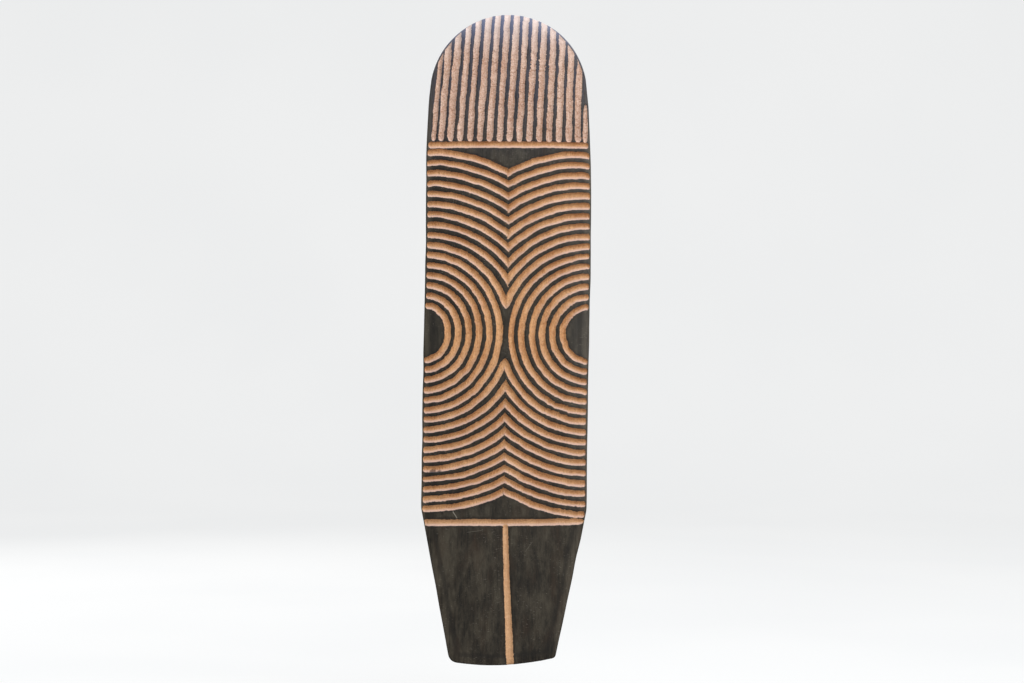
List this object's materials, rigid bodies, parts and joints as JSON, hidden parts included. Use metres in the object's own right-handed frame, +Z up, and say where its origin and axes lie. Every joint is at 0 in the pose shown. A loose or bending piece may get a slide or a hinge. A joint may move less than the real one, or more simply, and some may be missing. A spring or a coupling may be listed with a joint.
{
  "type": "carved wooden mask board",
  "caption": "Tall mask-like carved wall board with a round top and tapered tail, gouged half-ring and fluted grooves, hung by a D-ring behind.",
  "frame": {"origin": "where the wall hook bears: the inside of the hanging ring's crown, in the ring's mid plane, on the board's middle", "axes": "+Z up along the board's length, +Y towards the wall, -Y out of the carved front, +X to the right seen from the front"},
  "size_m": [0.254, 0.029, 1],
  "materials": {
    "stained_wood": "black stain on the front and edges, bare tan wood in the gouged grooves and on the back",
    "zinc_plated_strap": "zinc-plated sheet, satin",
    "steel_wire": "zinc-plated wire, smooth",
    "screw_steel": "yellow-tinged zinc plate, satin",
    "pad_rubber": "moulded rubber, matt"
  },
  "bodies": {
    "board": {"board": "stained_wood", "hanger_strap": "zinc_plated_strap", "hanger_screws": "screw_steel", "left_wall_pad": "pad_rubber", "right_wall_pad": "pad_rubber"},
    "ring": {"hanging_ring": "steel_wire"}
  },
  "joints": [
    {"name": "ring_hinge", "type": "hinge", "parent": "board", "child": "ring", "pos_m": [0, 0, -0.01575], "axis": [-1, 0, 0], "range_deg": [-3, 175]}
  ]
}
